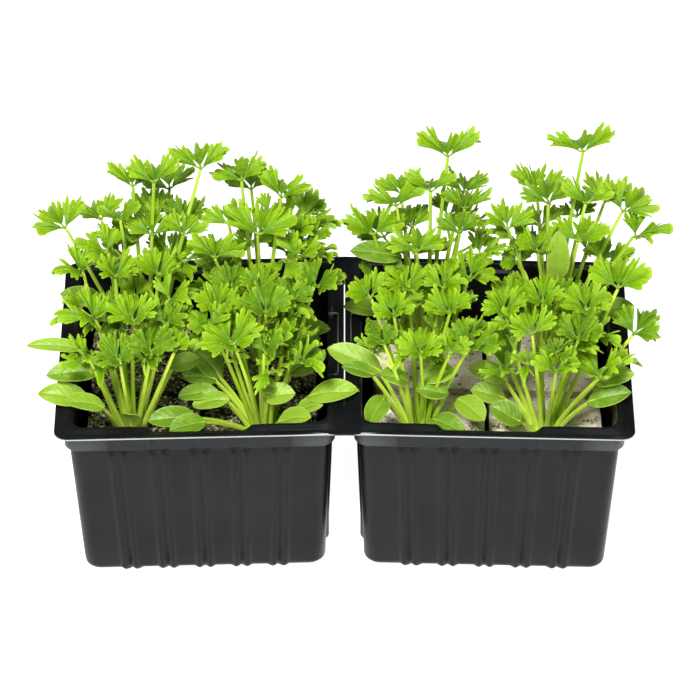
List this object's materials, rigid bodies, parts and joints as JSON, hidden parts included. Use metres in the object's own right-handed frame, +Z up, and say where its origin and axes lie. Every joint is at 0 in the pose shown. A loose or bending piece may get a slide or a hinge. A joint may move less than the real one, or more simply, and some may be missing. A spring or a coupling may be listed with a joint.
{
  "type": "potted parsley",
  "caption": "Young curly parsley in a black double nursery pot: tufts of cut, fan-shaped leaves stand in pressed soil blocks inside ribbed, tapered square cells that share one flange.",
  "frame": {"origin": "middle of the whole thing's footprint, on the surface that the pot stands on", "axes": "+Z up, +X to the right along the row of two cells, -Y towards the front seen in the picture"},
  "size_m": [0.2214, 0.1064, 0.1384],
  "materials": {
    "pot_plastic": "satin black thin formed sheet",
    "soil_dark": "moist dark crumbly pressed soil with pale grains",
    "soil_sandy": "dry sandy crumbly pressed soil",
    "parsley_green": "soft satin yellow-green leaves and paler stems"
  },
  "bodies": {
    "root": {"double_pot": "pot_plastic", "soil_block_left_front_outer": "soil_dark", "soil_block_left_back_outer": "soil_dark", "soil_block_left_back_inner": "soil_dark", "soil_block_left_front_inner": "soil_dark", "soil_block_right_back_inner": "soil_sandy", "soil_block_right_back_outer": "soil_sandy", "soil_block_right_front_inner": "soil_sandy", "soil_block_right_front_outer": "soil_sandy", "parsley_left_front_outer": "parsley_green", "parsley_left_back_outer": "parsley_green", "parsley_left_back_inner": "parsley_green", "parsley_left_front_inner": "parsley_green", "parsley_right_back_inner": "parsley_green", "parsley_right_back_outer": "parsley_green", "parsley_right_front_inner": "parsley_green", "parsley_right_front_outer": "parsley_green"}
  },
  "joints": []
}
